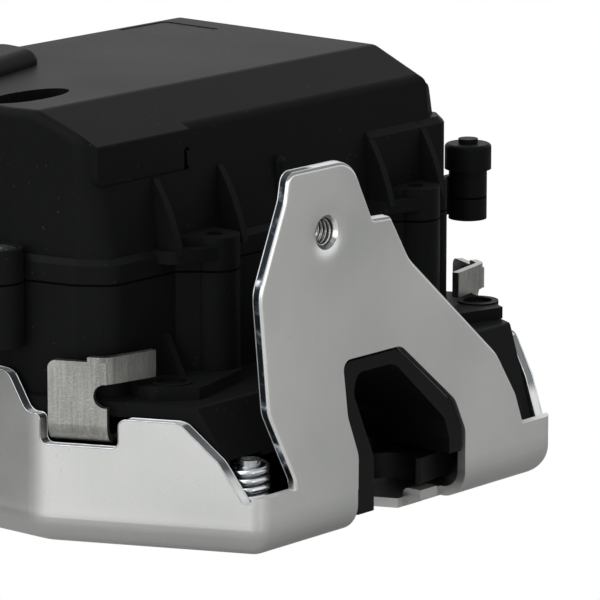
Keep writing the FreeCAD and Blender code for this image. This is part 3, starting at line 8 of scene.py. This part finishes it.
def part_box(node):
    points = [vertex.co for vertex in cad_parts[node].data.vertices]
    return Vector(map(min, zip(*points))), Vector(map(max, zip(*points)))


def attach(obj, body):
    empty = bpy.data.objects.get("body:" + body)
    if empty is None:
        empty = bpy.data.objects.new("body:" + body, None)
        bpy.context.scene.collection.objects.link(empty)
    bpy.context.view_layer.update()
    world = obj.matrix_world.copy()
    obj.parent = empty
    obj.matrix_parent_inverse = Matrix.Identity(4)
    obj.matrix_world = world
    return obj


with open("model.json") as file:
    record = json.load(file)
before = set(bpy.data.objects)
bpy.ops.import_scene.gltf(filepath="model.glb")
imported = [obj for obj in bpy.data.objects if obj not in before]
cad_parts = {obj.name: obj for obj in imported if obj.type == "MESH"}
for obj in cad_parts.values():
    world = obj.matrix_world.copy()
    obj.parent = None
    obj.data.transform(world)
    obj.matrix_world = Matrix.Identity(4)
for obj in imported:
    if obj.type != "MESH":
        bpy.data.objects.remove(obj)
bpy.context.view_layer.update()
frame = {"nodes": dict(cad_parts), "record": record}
nodes = frame["nodes"]

# The camera stands in front of the lock's left corner, a metre away with a long lens, so that the
# flange and the left wall are seen about equally and the black cover's top only at a slant.
camera_data = bpy.data.cameras.new("camera")
camera_data.lens = 300.0
camera_data.sensor_width = 36.0
camera_data.clip_end = 20.0
camera = bpy.data.objects.new("camera", camera_data)
bpy.context.scene.collection.objects.link(camera)
eye = (-0.7604, -0.6745, 0.2605)
azimuth, elevation = math.radians(-49.5), math.radians(12.4)
to_right = Vector((math.cos(azimuth), math.sin(azimuth), 0))
to_back = Vector((math.sin(azimuth) * math.cos(elevation), -math.cos(azimuth) * math.cos(elevation),
                  math.sin(elevation)))
to_top = to_back.cross(to_right)
turn = Matrix((to_right, to_top, to_back)).transposed()
camera.matrix_world = Matrix.Translation(eye) @ turn.to_4x4()
bpy.context.scene.camera = camera
bpy.context.scene.view_settings.view_transform = "Standard"

# The studio is a pale sheet some way under the lock, with a wide soft lamp above, one on the left, one in
# front, a weak low one behind and two narrow strips for upright edges. Behind the lock's left side the sheet
# carries a painted dark patch, shade for the left wall to mirror. The camera and all that mirrors see plain
# white air, and the air's own soft light is dimmer.


class Value:
    """One output of a node. Arithmetic on it adds Math nodes."""

    def __init__(self, tree, socket):
        self.tree = tree
        self.socket = socket

    def output(self, name):
        """Another output of the same node."""
        return Value(self.tree, self.socket.node.outputs[name])

    def math(self, operation, first, second=0.0):
        return self.tree.add("ShaderNodeMath", {"operation": operation}, [first, second])

    def __add__(self, other):
        return self.math("ADD", self, other)

    def __sub__(self, other):
        return self.math("SUBTRACT", self, other)

    def __rsub__(self, other):
        return self.math("SUBTRACT", other, self)

    def __mul__(self, other):
        return self.math("MULTIPLY", self, other)

    def __truediv__(self, other):
        return self.math("DIVIDE", self, other)

    def __pow__(self, other):
        return self.math("POWER", self, other)

    def rise(self, low, high):
        """0 below low and 1 above high."""
        return self.tree.add("ShaderNodeMapRange", {"clamp": True}, [self, low, high, 0.0, 1.0])

    def size(self):
        return self.math("ABSOLUTE", self)

    def near(self, middle, reach, fade):
        """1 within reach of middle, falling to 0 over the length fade."""
        return 1.0 - (self - middle).size().rise(reach, reach + fade)

    __radd__ = __add__
    __rmul__ = __mul__


class Tree:
    """A node tree. Every node in it comes from add."""

    def __init__(self, node_tree):
        self.node_tree = node_tree

    def feed(self, socket, value):
        """Links a socket to a node's output, or sets it to a plain value."""
        if isinstance(value, Value):
            self.node_tree.links.new(value.socket, socket)
        else:
            socket.default_value = value

    def add(self, kind, settings, values, output=0):
        """A node of that type, with its settings, then its sockets' values or links by place or name."""
        node = self.node_tree.nodes.new(kind)
        for key, setting in settings.items():
            if key == "stops":
                while len(node.color_ramp.elements) < len(setting):
                    node.color_ramp.elements.new(0.5)
                for element, (place, colour) in zip(node.color_ramp.elements, setting):
                    element.position = place
                    element.color = (*colour, 1)
            else:
                setattr(node, key, setting)
        pairs = values.items() if isinstance(values, dict) else enumerate(values)
        for key, value in pairs:
            self.feed(node.inputs[key], value)
        return Value(self, node.outputs[output]) if len(node.outputs) else None

    def axes(self, vector):
        """A vector's three parts."""
        parts = self.add("ShaderNodeSeparateXYZ", {}, [vector])
        return [parts.output(axis) for axis in "XYZ"]


class Finish(Tree):
    """A material in the making, round one Principled shader."""

    def __init__(self, name):
        self.material = bpy.data.materials.new(name)
        self.material.use_nodes = True
        super().__init__(self.material.node_tree)

    def ramp(self, value, stops):
        return self.add("ShaderNodeValToRGB", {"stops": stops}, [value])

    def place(self, stretch=(1, 1, 1)):
        """The point on the piece, in its own coordinates, stretched."""
        at = self.add("ShaderNodeTexCoord", {}, {}, "Object")
        return self.add("ShaderNodeMapping", {}, {"Vector": at, "Scale": stretch})

    def noise(self, scale, detail=2.0, stretch=(1, 1, 1)):
        at = self.place(stretch)
        return self.add("ShaderNodeTexNoise", {}, {"Vector": at, "Scale": scale, "Detail": detail})

    def mix(self, factor, first, second):
        """Colour between two colours, by the places of the Mix node's colour sockets."""
        factor_in, first_in, second_in, colour_out = 0, 6, 7, 2
        first, second = (end if isinstance(end, Value) else (*end, 1) for end in (first, second))
        sockets = {factor_in: factor, first_in: first, second_in: second}
        return self.add("ShaderNodeMix", {"data_type": "RGBA"}, sockets, colour_out)

    def bump(self, height, strength, distance, **under):
        sockets = {"Height": height, "Strength": strength, "Distance": distance, **under}
        return self.add("ShaderNodeBump", {}, sockets)

    def set(self, **sockets):
        """Values or links on the Principled shader, by the socket's name with _ for a space."""
        shader = self.node_tree.nodes["Principled BSDF"]
        for key, value in sockets.items():
            self.feed(shader.inputs[key.replace("_", " ")], value)
        return self.material


sheet_mesh = bpy.data.meshes.new("studio_sheet")
half_sheet, sheet_z = 6.0, -0.07
sheet_mesh.from_pydata([(-half_sheet, -half_sheet, 0), (half_sheet, -half_sheet, 0),
                        (half_sheet, half_sheet, 0), (-half_sheet, half_sheet, 0)], [], [(0, 1, 2, 3)])
sheet = bpy.data.objects.new("studio_sheet", sheet_mesh)
sheet.location.z = sheet_z
bpy.context.scene.collection.objects.link(sheet)
sheet_finish = Finish("studio_sheet")
sheet_x, sheet_y, _ = sheet_finish.axes(sheet_finish.place())
# painted shade: a dark patch on the sheet behind and left of the lock, which the left wall mirrors
painted_shade_behind_left = sheet_y.rise(0.04, 0.22) * (sheet_x * -1.0).rise(0.08, 0.22)
sheet_tone = sheet_finish.mix(painted_shade_behind_left, (0.82, 0.82, 0.82), (0.05, 0.05, 0.05))
sheet_mesh.materials.append(sheet_finish.set(Base_Color=sheet_tone, Roughness=0.9))
sheet.visible_camera = False

world = bpy.data.worlds.new("studio_air")
bpy.context.scene.world = world
world.use_nodes = True
air = Tree(world.node_tree)
soft_light, plain_white = 0.22, 1.0
ray = air.add("ShaderNodeLightPath", {}, {}, "Is Camera Ray")
seen_or_mirrored = ray + ray.output("Is Transmission Ray") + ray.output("Is Glossy Ray")
strength = air.add("ShaderNodeMapRange", {"clamp": True},
                   [seen_or_mirrored, 0.0, 1.0, soft_light, plain_white])
background = world.node_tree.nodes["Background"]
background.inputs["Color"].default_value = (1, 1, 1, 1)
air.feed(background.inputs["Strength"], strength)

# Each lamp's stand, aim, width, height and watts.
lamps = {
    "lamp_above": ((-0.45, 0.15, 0.75), (0.0, 0.0, 0.04), 0.7, 0.7, 3.04),
    "lamp_front": ((-0.1, -1.0, 0.45), (0.0, 0.0, 0.04), 1.6, 1.0, 1.2),
    "lamp_left": ((-0.9, -0.1, 0.25), (0.0, 0.0, 0.03), 0.7, 0.7, 1.2),
    "lamp_behind": ((0.95, 0.80, 0.36), (0.0, 0.0, 0.08), 1.6, 0.5, 0.35),
    "strip_left": ((-0.60, -0.03, 0.10), (0.0, 0.0, 0.05), 0.09, 0.30, 0.15),
    "strip_front": ((-0.30, -0.62, 0.10), (0.0, 0.0, 0.05), 0.07, 0.30, 0.14),
}
for name, (stand, aim, width, height, watts) in lamps.items():
    lamp_data = bpy.data.lights.new(name, "AREA")
    lamp_data.shape = "RECTANGLE"
    lamp_data.size = width
    lamp_data.size_y = height
    lamp_data.energy = watts
    lamp = bpy.data.objects.new(name, lamp_data)
    lamp.location = stand
    lamp.rotation_euler = (Vector(aim) - Vector(stand)).to_track_quat("-Z", "Y").to_euler()
    lamp.visible_camera = False
    bpy.context.scene.collection.objects.link(lamp)

# The pan is pressed from 2 mm sheet and bright zinc plated. Its faces are satin with fine grain, clouds and
# thin draw lines round the bend. Light and shade are painted on it too: small white glints, a darker low
# wall, a bright line where the bend starts, near-white rims and upward cut faces, dark slanted cut faces and
# a dark bore. The sheared left edge of the flange is dark with pale streaks, and the sheet is drawn in round
# the lug's hole.


def paint(names, material):
    for name in names:
        nodes[name].data.materials.clear()
        nodes[name].data.materials.append(material)


mounts = {mount["name"]: mount for mount in frame["record"]["mounts"]}
lug_x, lug_y, lug_z = mounts["lug_thread"]["pos_m"]
lug_radius = mounts["lug_thread"]["dims"]["r_mm"] / 1000
lug_depth = mounts["lug_thread"]["dims"]["length_mm"] / 1000
flange_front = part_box("base_pan")[0][1]
flange_back = flange_front + 0.002
zinc = Finish("zinc_plated_sheet")
grain = zinc.noise(2600.0, 3.0)
cloud = zinc.noise(34.0, 3.0)
drawn = zinc.noise(700.0, 2.0, (1.0, 1.0, 0.06))
ironed = zinc.noise(900.0, 2.0, (0.03, 0.03, 1.0))
painted_glint = zinc.noise(3600.0, 0.0).rise(0.80, 0.84)
speck = zinc.noise(2400.0, 0.0).rise(0.83, 0.86)
torn = zinc.noise(420.0, 3.0, (0.5, 0.5, 1.0))
_, turned_y, upward = zinc.axes(zinc.add("ShaderNodeTexCoord", {}, {}, "Normal"))
ahead = turned_y.size()
at_x, at_y, at_z = zinc.axes(zinc.place())
in_flange = (at_y * -1.0).rise(-flange_back - 0.0004, -flange_back)
in_collar = (at_y * -1.0).rise(-lug_y - lug_depth, 0.001 - lug_y - lug_depth)
above_bend = at_z.rise(0.012, 0.015)
outer_left = (at_x * -1.0).rise(0.030, 0.032)
turning = ahead.rise(0.25, 0.45)
cut_edge = (1.0 - turning) * in_flange * outer_left * above_bend
rim = turning * (1.0 - ahead.rise(0.88, 0.97)) * in_flange * above_bend
sheet_top = upward.rise(0.5, 0.9) * at_z.rise(0.004, 0.006)
painted_highlight = rim + sheet_top * (1.0 - rim)
rough = (cloud - 0.5) * 0.14 + (grain - 0.5) * 0.10 + 0.34
from_lug = ((at_x - lug_x) ** 2.0 + (at_z - lug_z) ** 2.0) ** 0.5
bore = 1.0 - from_lug.rise(lug_radius + 0.0001, lug_radius + 0.0003)
near_lug = 1.0 - from_lug.rise(lug_radius, 3 * lug_radius)
low_wall = 1.0 - at_z.rise(0.004, 0.009)
bend_highlight = at_z.rise(0.0058, 0.0068) * (1.0 - at_z.rise(0.0074, 0.0090))
slanted = upward.rise(0.25, 0.4) * (1.0 - upward.rise(0.82, 0.9)) * at_z.rise(0.016, 0.018)
tone = zinc.ramp(cloud * 0.9 + drawn * 0.1, [(0.3, (0.64, 0.655, 0.64)), (0.7, (0.74, 0.745, 0.725))])
# painted highlight: small white glints dotted over the zinc
tone = zinc.mix(painted_glint * 0.5, tone, (1.0, 1.0, 1.0))
tone = zinc.mix(speck * 0.5, tone, (0.30, 0.30, 0.29))
# painted shade: the lowest part of the wall darker, as it mirrors the dark floor near the lock
tone = zinc.mix(low_wall * 0.55, tone, (0.34, 0.345, 0.33))
# painted highlight: a bright line on the side walls where the bottom bend starts
tone = zinc.mix(bend_highlight * (1.0 - ahead) * 0.45, tone, (0.92, 0.92, 0.90))
# painted highlight: the flange's rounded rims and the upward cut faces coloured near white
tone = zinc.mix(painted_highlight, tone, (0.95, 0.95, 0.94))
# painted reflection: the slanted cut faces dark, as they mirror the black plastic
tone = zinc.mix(slanted * 0.85, tone, (0.10, 0.11, 0.12))
# painted shade: the lug's bore dark inside, between the thread crests
tone = zinc.mix(bore * in_collar, tone, (0.05, 0.05, 0.05))
edge_tone = zinc.ramp(torn, [(0.48, (0.015, 0.02, 0.025)), (0.6, (0.10, 0.12, 0.14)),
                             (0.7, (0.75, 0.78, 0.80))])
drawn_in = zinc.bump(near_lug ** 3.0 * -0.9 * in_flange, 1.0, 0.001)
relief = grain * 0.12 + drawn * 0.02 + ironed * low_wall * 0.5 + torn * cut_edge * 1.2
zinc_material = zinc.set(
    Base_Color=zinc.mix(cut_edge, tone, edge_tone),
    Metallic=0.94 - sheet_top * 0.6,
    Roughness=rough + sheet_top * 0.16 - rim * 0.10,
    Normal=zinc.bump(relief, 0.5, 0.0002, Normal=drawn_in),
)
paint(["base_pan"], zinc_material)

# Pins, shafts and screws are turned steel, the springs are drawn wire, and the claw's core, the pawl and
# the cam are blanked from plate. All are bare or oiled, with the marks of how each was made.


def worked_metal(name, grain, dark, light, swing, rough, relief=None):
    """A metal whose tone, roughness and relief follow one noise."""
    metal = Finish(name)
    marks = metal.noise(*grain)
    metal.set(Base_Color=metal.ramp(marks, [(0.3, dark), (0.7, light)]), Metallic=1.0,
              Roughness=(marks - 0.5) * swing + rough)
    if relief:
        metal.set(Normal=metal.bump(marks, *relief))
    return metal.material


steel_material = worked_metal("turned_steel", grain=(300.0, 2.0, (1.0, 1.0, 14.0)), dark=(0.50, 0.51, 0.52),
                              light=(0.62, 0.63, 0.63), swing=0.16, rough=0.27, relief=(0.08, 0.0001))
paint(["claw_pin", "pawl_pin", "corner_pin", "output_shaft", "motor_shaft", "pawl_follower", "cover_screws",
       "housing_screws"], steel_material)
wire_material = worked_metal("spring_wire", grain=(420.0, 3.0), dark=(0.42, 0.44, 0.46),
                             light=(0.58, 0.60, 0.62), swing=0.12, rough=0.2, relief=(0.05, 0.0001))
paint(["claw_spring", "pawl_spring", "corner_spring"], wire_material)
blanked_material = worked_metal("blanked_steel", grain=(700.0, 4.0), dark=(0.30, 0.30, 0.31),
                                light=(0.42, 0.42, 0.43), swing=0.2, rough=0.38, relief=(0.08, 0.0002))
paint(["claw_core", "pawl", "output_cam"], blanked_material)

# Shearing and plating leave a fine bright burr along the pan's cut edges. A Geometry Nodes tree takes the
# edges sharper than Angle between its faces and lays a thin bead of radius Burr along them, above Lowest
# and clear of the flange's front face.


class Growth(Tree):
    """A Geometry Nodes tree with named sizes, which grows a mesh from a start mesh."""

    def __init__(self, name, titles):
        super().__init__(bpy.data.node_groups.new(name, "GeometryNodeTree"))
        panel = self.node_tree.interface
        panel.new_socket(name="Geometry", in_out="INPUT", socket_type="NodeSocketGeometry")
        panel.new_socket(name="Geometry", in_out="OUTPUT", socket_type="NodeSocketGeometry")
        self.keys = {}
        for title in titles:
            entry = panel.new_socket(name=title, in_out="INPUT", socket_type="NodeSocketFloat")
            self.keys[title] = entry.identifier
        self.given = self.add("NodeGroupInput", {}, {})

    def compare(self, first, second):
        """True where the first value is the greater."""
        return self.add("FunctionNodeCompare", {}, [first, second])

    def both(self, first, second):
        return self.add("FunctionNodeBooleanMath", {}, [first, second])

    def close(self, shape, material):
        """Ends the tree in a real mesh of one material."""
        real = self.add("GeometryNodeRealizeInstances", {}, [shape])
        coated = self.add("GeometryNodeSetMaterial", {}, {"Geometry": real, "Material": material})
        self.add("NodeGroupOutput", {}, [coated])

    def grow(self, start, sizes):
        """The plain mesh for a start mesh and those sizes."""
        host = bpy.data.objects.new("host", start)
        bpy.context.scene.collection.objects.link(host)
        growing = host.modifiers.new("growing", "NODES")
        growing.node_group = self.node_tree
        for title, size in sizes.items():
            growing[self.keys[title]] = size
        mesh = bpy.data.meshes.new_from_object(host.evaluated_get(bpy.context.evaluated_depsgraph_get()))
        bpy.data.objects.remove(host)
        return mesh


def fix_to_pan(name, mesh):
    piece = bpy.data.objects.new(name, mesh)
    bpy.context.scene.collection.objects.link(piece)
    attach(piece, "root")


burr_tree = Growth("edge_burr", ["Angle", "Burr", "Lowest"])
pan_mesh = burr_tree.given.output("Geometry")
welded = burr_tree.add("GeometryNodeMergeByDistance", {}, {"Geometry": pan_mesh, "Distance": 0.000002})
edge_angle = burr_tree.add("GeometryNodeInputMeshEdgeAngle", {}, {}, "Unsigned Angle")
_, edge_y, edge_z = burr_tree.axes(burr_tree.add("GeometryNodeInputPosition", {}, {}))
sharp = burr_tree.compare(edge_angle, burr_tree.given.output("Angle"))
high = burr_tree.compare(edge_z, burr_tree.given.output("Lowest"))
behind_front = burr_tree.compare(edge_y, flange_front + 0.0002)
wanted = burr_tree.both(sharp, burr_tree.both(high, behind_front))
edge_lines = burr_tree.add("GeometryNodeMeshToCurve", {}, {"Mesh": welded, "Selection": wanted})
bead = burr_tree.add("GeometryNodeCurvePrimitiveCircle", {},
                     {"Resolution": 5, "Radius": burr_tree.given.output("Burr")}, "Curve")
laid = burr_tree.add("GeometryNodeCurveToMesh", {}, {"Curve": edge_lines, "Profile Curve": bead})
burr_tree.close(laid, wire_material)
burr_sizes = {"Angle": math.radians(50), "Burr": 0.00016, "Lowest": 0.014}
fix_to_pan("pan_edge_burr", burr_tree.grow(nodes["base_pan"].data, burr_sizes))

# The lug and the two floor collars are tapped M6, oily steel. In the lug the bore between the crests is
# painted dark as shade. One Geometry Nodes tree winds a sharp crest round the bore, with its radius, pitch,
# length and depth as named inputs, and each thread is turned into its hole, a little inside the mouth.
cut = Finish("cut_thread")
chatter = cut.noise(1800.0, 2.0)
cut_material = cut.set(
    Base_Color=cut.ramp(chatter, [(0.35, (0.34, 0.34, 0.34)), (0.65, (0.60, 0.60, 0.58))]),
    Metallic=0.94,
    Roughness=(chatter - 0.5) * 0.2 + 0.22,
)
thread_tree = Growth("tapped_thread", ["Radius", "Pitch", "Length", "Depth"])
thread_radius, pitch, thread_length, thread_depth = (
    thread_tree.given.output(title) for title in ("Radius", "Pitch", "Length", "Depth"))
winding = thread_tree.add("GeometryNodeCurveSpiral", {}, {
    "Resolution": 48, "Rotations": thread_length / pitch, "Start Radius": thread_radius,
    "End Radius": thread_radius, "Height": thread_length})
upright = thread_tree.add("GeometryNodeSetCurveNormal", {"mode": "Z_UP"}, {"Curve": winding})
crest = thread_tree.add("GeometryNodeCurvePrimitiveCircle", {},
                        {"Resolution": 4, "Radius": thread_depth}, "Curve")
swept = thread_tree.add("GeometryNodeCurveToMesh", {}, {
    "Curve": upright, "Profile Curve": crest, "Fill Caps": True})
thread_tree.close(swept, cut_material)
# Each crest's mount, how far inside the mouth it starts, and its length.
tapped_holes = {
    "lug_thread_crest": ("lug_thread", 0.0001, 0.0037),
    "left_floor_thread_crest": ("floor_thread_left", 0.0006, 0.0040),
    "right_floor_thread_crest": ("floor_thread_right", 0.0006, 0.0040),
}
for name, (hole, inset, length) in tapped_holes.items():
    inward = -Vector(mounts[hole]["axis"])
    start = Vector(mounts[hole]["pos_m"]) + inward * inset
    thread_mesh = thread_tree.grow(bpy.data.meshes.new(name + "_start"), {
        "Radius": 0.0027, "Pitch": 0.001, "Length": length, "Depth": 0.00045})
    thread_mesh.transform(Matrix.LocRotScale(start, inward.to_track_quat("Z", "Y"), None))
    fix_to_pan(name, thread_mesh)

# The mouth liner and the claw's jacket are smooth, low friction plastic, moulded round the striker's way
# in so that the lock closes quietly. Faint sink marks vary their gloss.
liner = Finish("smooth_black_plastic")
sink = liner.noise(60.0, 2.0)
liner_material = liner.set(
    Base_Color=(0.005, 0.0053, 0.0057, 1),
    Roughness=(sink - 0.5) * 0.14 + 0.38,
    Specular_IOR_Level=0.12,
    Normal=liner.bump(liner.noise(1400.0, 2.0), 0.06, 0.0002),
)
paint(["mouth_liner", "claw_jacket"], liner_material)

# The striker's buffer and the seal between housing and cover are soft rubber with a dull skin, pressed
# into place.
rubber = Finish("soft_rubber")
skin = rubber.noise(900.0, 4.0)
rubber_material = rubber.set(
    Base_Color=rubber.ramp(skin, [(0.3, (0.018, 0.018, 0.018)), (0.7, (0.03, 0.03, 0.03))]),
    Roughness=(skin - 0.5) * 0.1 + 0.75,
    Normal=rubber.bump(skin, 0.2, 0.0002),
)
paint(["striker_buffer", "housing_seal"], rubber_material)

# The bridge plate lies across the pan and shows at two upturned ends. It has the same plating on coarser
# sheet, faintly brushed up and down and a little darker.
coarse = Finish("brushed_zinc_sheet")
stroke = coarse.noise(1500.0, 3.0, (1.0, 1.0, 0.08))
wave = coarse.noise(90.0, 2.0, (1.0, 1.0, 0.5))
pebble = coarse.noise(2400.0, 2.0)
coarse_material = coarse.set(
    Base_Color=coarse.ramp(stroke * 0.3 + wave * 0.5 + pebble * 0.2,
                           [(0.36, (0.25, 0.25, 0.235)), (0.64, (0.50, 0.50, 0.47))]),
    Metallic=0.94,
    Roughness=(wave - 0.5) * 0.25 + (pebble - 0.5) * 0.1 + 0.33,
    Normal=coarse.bump(stroke * 0.4 + pebble * 0.6, 0.25, 0.0002),
)
paint(["bridge_plate"], coarse_material)

# The cover, housing, mechanism cover, connector and post are black glass-filled plastic, with a fine
# etched surface that greys at a slant and a few pale fibres. The seam where cover and housing part is dark,
# the small slot in the cover's front is painted near black inside as shade, and the blank field on its top
# is a shade paler.
parting_z = 0.0524
slot_x, slot_y, slot_z = -0.0306, -0.0170, 0.0741
field_x, field_y = 0.0310, 0.0385
black = Finish("black_moulding")
etch = black.noise(3000.0, 3.0)
flow = black.noise(24.0, 3.0)
fibre = black.noise(1500.0, 0.0).rise(0.825, 0.85)
on_x, on_y, on_z = black.axes(black.place())
seam = on_z.near(parting_z, 0.00012, 0.0002)
slot_front = on_x.near(slot_x, 0.00078, 0.00008) * on_z.near(slot_z, 0.0022, 0.0002)
# painted shade: the inner faces of the slot in the cover's front coloured near black
slot_shade = slot_front * on_y.near(slot_y, 0.0043, 0.0003)
field = on_x.near(field_x, 0.0072, 0.0004) * on_y.near(field_y, 0.0077, 0.0004) * on_z.rise(0.0855, 0.0858)
plastic_tone = black.ramp(flow, [(0.3, (0.0090, 0.0094, 0.0098)), (0.7, (0.0112, 0.0116, 0.0120))])
plastic_tone = black.mix(fibre * 0.16, plastic_tone, (0.16, 0.16, 0.15))
plastic_tone = black.mix(field * 0.6, plastic_tone, (0.020, 0.020, 0.021))
black_material = black.set(
    Base_Color=black.mix(seam + slot_shade, plastic_tone, (0.0004, 0.0004, 0.0004)),
    Roughness=(etch - 0.5) * 0.16 + (flow - 0.5) * 0.12 + 0.44 + seam * 0.4 + slot_shade * 0.5,
    Normal=black.bump(etch * 0.3 - seam * 2.0, 0.25, 0.0002),
    Specular_IOR_Level=0.03,
)
paint(["lower_housing", "top_cover", "mechanism_cover", "connector_socket", "side_post", "post_cap",
       "contact_carrier", "position_switch", "worm_bearing"], black_material)

# The motor's can is rolled steel. The worm, the contacts and the bushes are brass or bronze, which look
# alike. The worm wheel, the motor's end cap and the switch's plunger are pale acetal. All lie inside the
# housing, apart from the connector's pins.
can_material = worked_metal("motor_can", grain=(500.0, 2.0, (0.1, 1.0, 1.0)), dark=(0.52, 0.53, 0.54),
                            light=(0.64, 0.64, 0.65), swing=0.15, rough=0.3)
paint(["motor_case"], can_material)
brass_material = worked_metal("contact_brass", grain=(240.0, 3.0), dark=(0.62, 0.44, 0.18),
                              light=(0.78, 0.58, 0.27), swing=0.2, rough=0.3)
paint(["worm", "motor_terminals", "connector_pins", "contact_strips", "lower_bush", "upper_bush"],
      brass_material)
acetal = Finish("pale_gear_plastic")
swirl = acetal.noise(80.0, 3.0)
acetal_material = acetal.set(
    Base_Color=acetal.ramp(swirl, [(0.3, (0.68, 0.66, 0.60)), (0.7, (0.76, 0.74, 0.68))]),
    Roughness=(swirl - 0.5) * 0.1 + 0.42,
    Subsurface_Weight=0.05,
)
paint(["worm_wheel", "motor_end_cap", "switch_plunger"], acetal_material)
